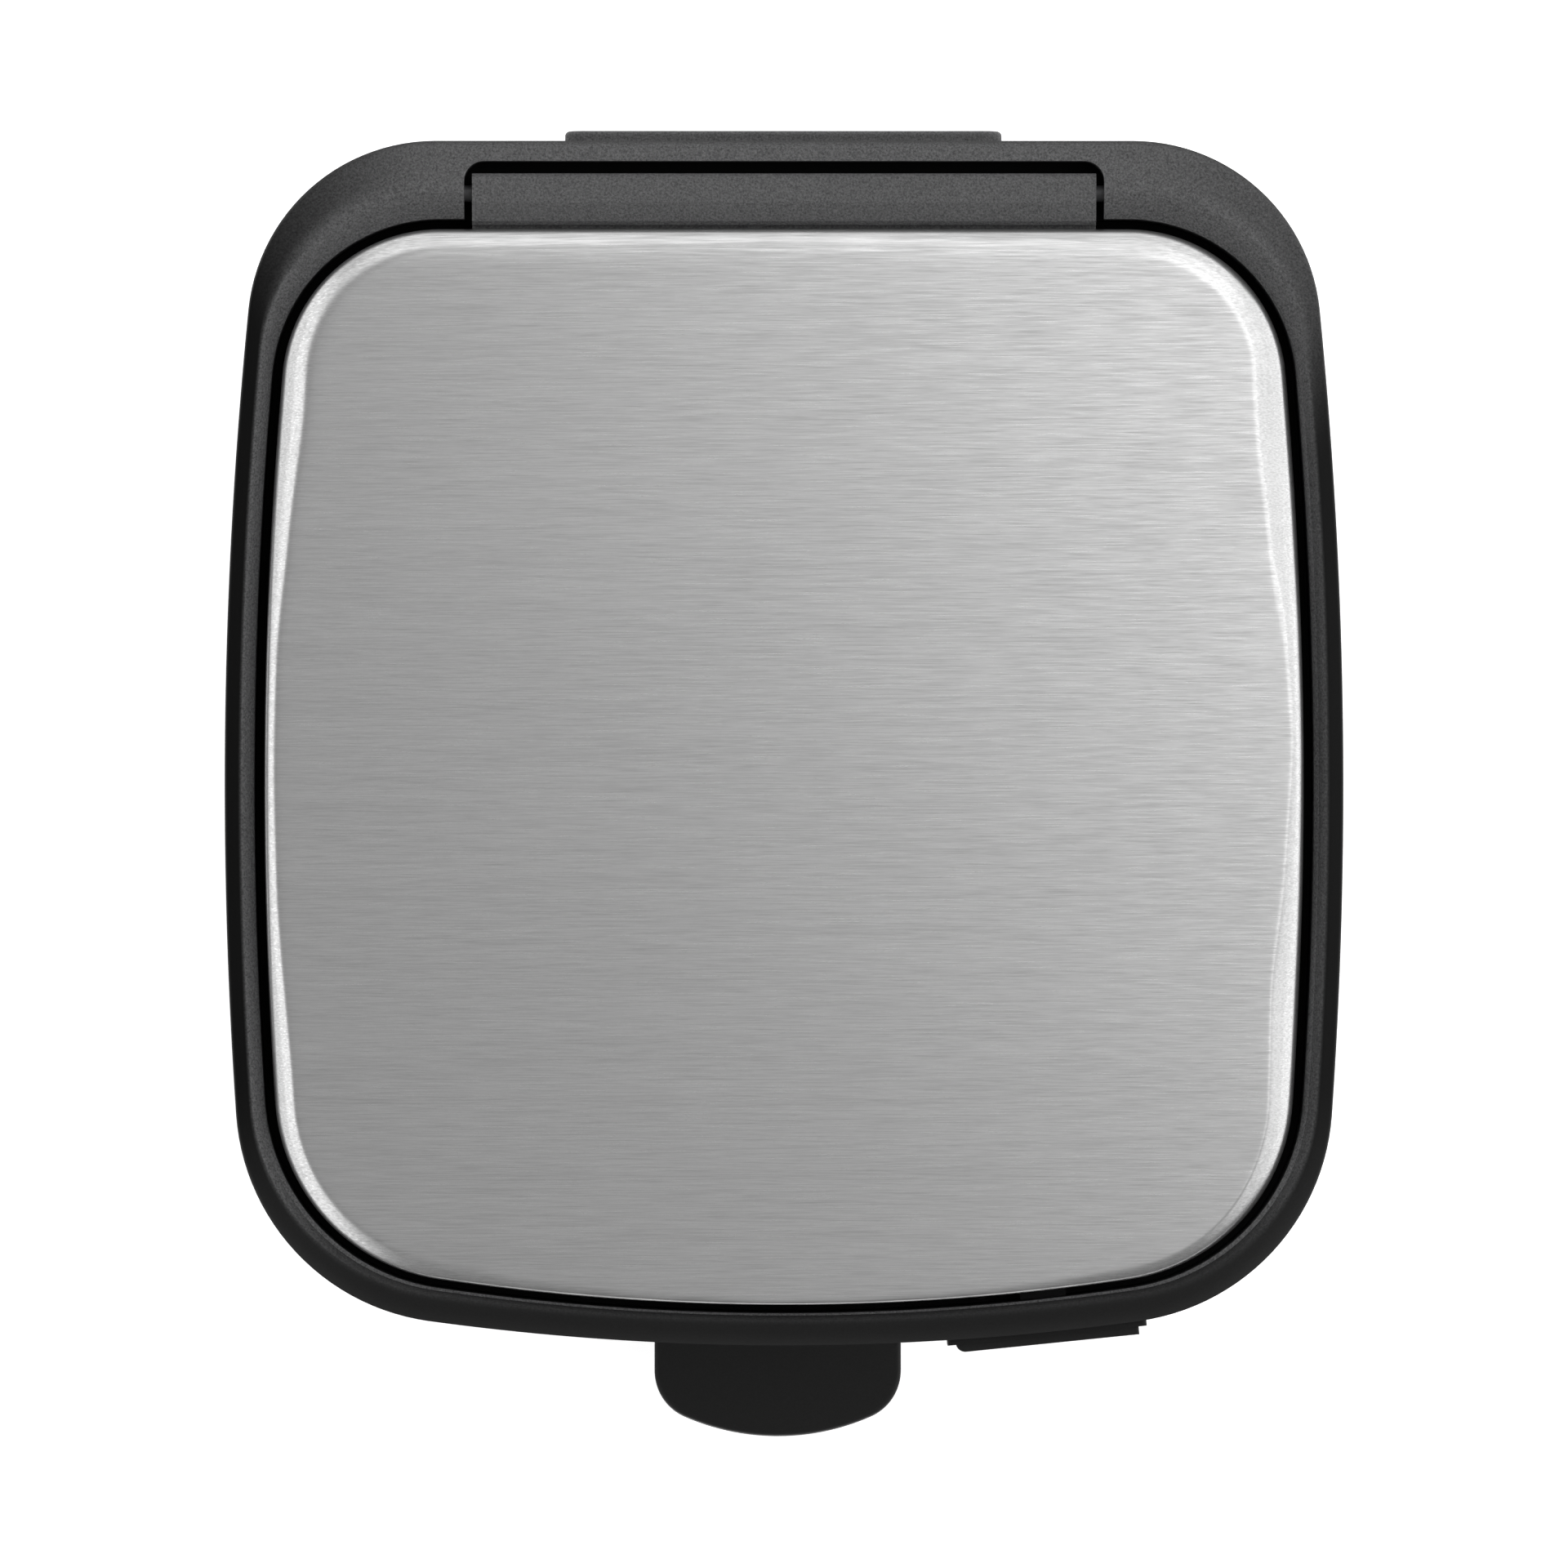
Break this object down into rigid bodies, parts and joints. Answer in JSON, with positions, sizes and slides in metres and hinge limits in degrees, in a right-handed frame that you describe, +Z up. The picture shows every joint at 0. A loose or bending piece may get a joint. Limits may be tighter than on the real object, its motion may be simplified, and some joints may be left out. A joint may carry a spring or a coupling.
{
  "type": "trash compactor bin",
  "caption": "Tall pedal bin with a hand trash compactor: brushed steel lid and shell, black rim and base, press plate on folding arms under the lid, lift-out bucket.",
  "frame": {"origin": "on the floor, under the centre of the bounding box", "axes": "+Z up; -Y to the front, where the pedal is; +X to the right as seen from the front, the side of the lid lock"},
  "size_m": [0.34, 0.4235, 0.64],
  "materials": {
    "brushed_steel": "satin, brushed across",
    "textured_plastic": "fine spark-eroded texture",
    "black_plastic": "smooth satin",
    "grey_plastic": "satin",
    "bucket_plastic": "satin",
    "white_plastic": "waxy satin",
    "black_rubber": "matte",
    "linkage_steel": "satin powder coat",
    "bright_steel": "zinc-bright",
    "filter_felt": "matte carbon felt"
  },
  "bodies": {
    "bin": {"base": "black_plastic", "rubber_feet": "black_rubber", "bucket_platform": "grey_plastic", "platform_screws": "bright_steel", "outer_shell": "brushed_steel", "rim_spacers": "grey_plastic", "rim_frame": "textured_plastic", "lock_bezel": "black_plastic", "rear_handle": "textured_plastic", "damper_tube": "grey_plastic", "rod_guides": "white_plastic", "inner_bucket": "bucket_plastic", "liner_ring": "bucket_plastic", "lid_rest_pads": "black_rubber", "pedal_pin": "bright_steel"},
    "lid": {"lid_panel": "brushed_steel", "lid_frame": "black_plastic", "lid_inner_cover": "black_plastic", "lid_screws": "bright_steel", "hinge_bridge": "textured_plastic", "hinge_rod": "linkage_steel", "bridge_screws": "bright_steel", "lift_crank": "black_plastic", "filter_cartridge": "filter_felt", "filter_cover": "black_plastic", "lid_bracket_left": "linkage_steel", "lid_bracket_right": "linkage_steel", "arm_catches": "white_plastic"},
    "arms": {"compactor_arms": "linkage_steel", "grab_bar": "bright_steel", "grab_sleeve": "black_rubber", "arm_pins": "bright_steel"},
    "links": {"tie_links": "linkage_steel", "link_pins": "bright_steel"},
    "press": {"press_plate": "grey_plastic", "plate_brackets": "linkage_steel", "plate_edge_seal": "black_rubber"},
    "pedal": {"pedal_tread": "black_plastic", "pedal_lever": "linkage_steel", "tread_screws": "bright_steel"},
    "rod": {"push_rod": "bright_steel", "rod_foot": "white_plastic", "rod_cap": "white_plastic", "damper_piston": "white_plastic"},
    "button": {"lock_button": "black_plastic", "lock_tongue": "black_plastic"}
  },
  "joints": [
    {"name": "lid_hinge", "type": "hinge", "parent": "bin", "child": "lid", "pos_m": [0, 0.1911, 0.626], "axis": [-1, 0, 0], "range_deg": [0, 80]},
    {"name": "pedal_hinge", "type": "hinge", "parent": "bin", "child": "pedal", "pos_m": [0, -0.006, 0.028], "axis": [1, 0, 0], "range_deg": [0, 9]},
    {"name": "push_rod_slide", "type": "slide", "parent": "bin", "child": "rod", "axis": [0, 0, 1], "range_m": [0, 0.0287]},
    {"name": "arm_pivot", "type": "hinge", "parent": "lid", "child": "arms", "pos_m": [0, 0.144, 0.608], "axis": [-1, 0, 0], "range_deg": [-50, 0]},
    {"name": "link_pivot", "type": "hinge", "parent": "lid", "child": "links", "pos_m": [0, 0.144, 0.592], "axis": [-1, 0, 0], "range_deg": [-50, 0]},
    {"name": "plate_pivot", "type": "hinge", "parent": "arms", "child": "press", "pos_m": [0, -0.026, 0.608], "axis": [-1, 0, 0], "range_deg": [0, 50]},
    {"name": "lock_slide", "type": "slide", "parent": "bin", "child": "button", "axis": [-0.1007, 0.9949, 0], "range_m": [0, 0.004]}
  ],
  "couplings": [
    {"joint": "pedal_hinge", "follows": "lid_hinge", "ratio": 0.1125},
    {"joint": "push_rod_slide", "follows": "lid_hinge", "m_per_rad": 0.020484},
    {"joint": "link_pivot", "follows": "arm_pivot", "ratio": 1},
    {"joint": "plate_pivot", "follows": "arm_pivot", "ratio": -1}
  ]
}
